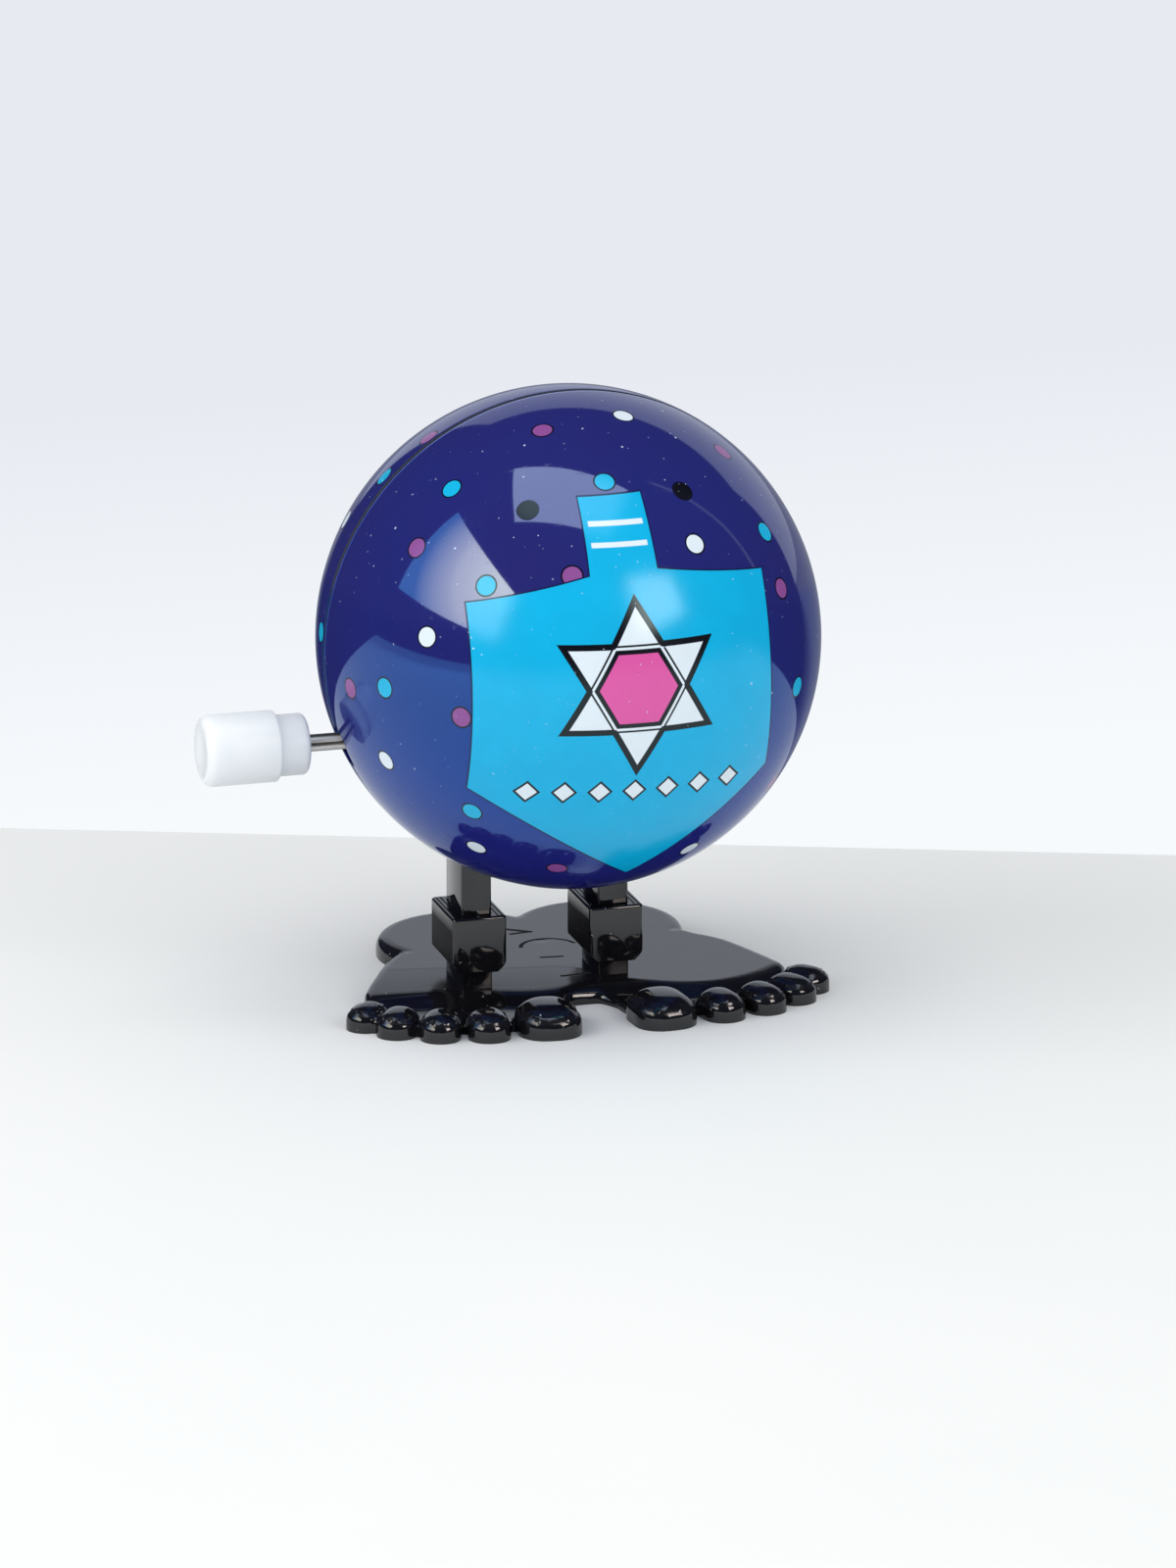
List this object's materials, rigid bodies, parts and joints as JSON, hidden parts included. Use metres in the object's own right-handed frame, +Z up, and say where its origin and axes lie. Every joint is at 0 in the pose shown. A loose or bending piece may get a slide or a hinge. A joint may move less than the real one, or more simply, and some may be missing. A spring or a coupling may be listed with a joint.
{
  "type": "wind-up hopping ball toy",
  "caption": "Glossy dark blue two-shell ball with confetti dots and a spinning-top print, on two legs over one joined black foot plate, with a side winding knob driving cranks.",
  "frame": {"origin": "on the foot plate's flat underside, under the ball's centre", "axes": "front is -Y, up is +Z, the winding knob points along -X"},
  "size_m": [0.063, 0.05, 0.0619],
  "materials": {
    "shell_plastic": "glossy moulded styrene, deep indigo, with printed dots and a printed cyan top",
    "knob_plastic": "milky translucent white",
    "rolled_steel": "rolled strip, bright",
    "pin_steel": "drawn wire",
    "spring_steel": "hardened strip",
    "gear_plastic": "natural acetal",
    "case_plastic": "white moulding",
    "foot_plastic": "glossy black moulding"
  },
  "bodies": {
    "ball": {"shell_front": "shell_plastic", "shell_rear": "shell_plastic", "gearbox_case": "case_plastic", "gearbox_cover": "case_plastic", "mainspring": "spring_steel", "idler_pin": "pin_steel", "escape_pin": "pin_steel", "pallet_pin": "pin_steel"},
    "winder": {"winding_knob": "knob_plastic", "winding_stem": "rolled_steel", "great_wheel": "gear_plastic"},
    "idler": {"idler_wheel": "gear_plastic"},
    "crank": {"crank_wheel": "gear_plastic", "crank_axle": "pin_steel", "crank_left": "gear_plastic", "crank_right": "gear_plastic"},
    "feet": {"foot_plate": "foot_plastic", "leg_left": "foot_plastic", "leg_right": "foot_plastic"},
    "escape": {"escape_wheel": "gear_plastic"},
    "pallet": {"pallet": "gear_plastic"}
  },
  "joints": [
    {"name": "winder_turn", "type": "hinge", "parent": "ball", "child": "winder", "pos_m": [-0.0028, 0, 0.028], "axis": [1, 0, 0], "continuous": true},
    {"name": "idler_turn", "type": "hinge", "parent": "ball", "child": "idler", "pos_m": [-0.0028, 0.00717, 0.02248], "axis": [1, 0, 0], "continuous": true},
    {"name": "crank_turn", "type": "hinge", "parent": "ball", "child": "crank", "pos_m": [-0.0028, 0.0016, 0.02011], "axis": [1, 0, 0], "continuous": true},
    {"name": "feet_orbit", "type": "hinge", "parent": "crank", "child": "feet", "pos_m": [-0.0028, 0.0016, 0.02131], "axis": [1, 0, 0], "continuous": true},
    {"name": "escape_turn", "type": "hinge", "parent": "ball", "child": "escape", "pos_m": [-0.0028, -0.004, 0.0209], "axis": [1, 0, 0], "continuous": true},
    {"name": "pallet_rock", "type": "hinge", "parent": "ball", "child": "pallet", "pos_m": [-0.0028, -0.00744, 0.02379], "axis": [1, 0, 0], "range_deg": [-4, 4]}
  ],
  "couplings": [
    {"joint": "winder_turn", "follows": "crank_turn", "ratio": 0.19231},
    {"joint": "idler_turn", "follows": "crank_turn", "ratio": -0.5},
    {"joint": "feet_orbit", "follows": "crank_turn", "ratio": -1},
    {"joint": "escape_turn", "follows": "crank_turn", "ratio": -1.8}
  ]
}
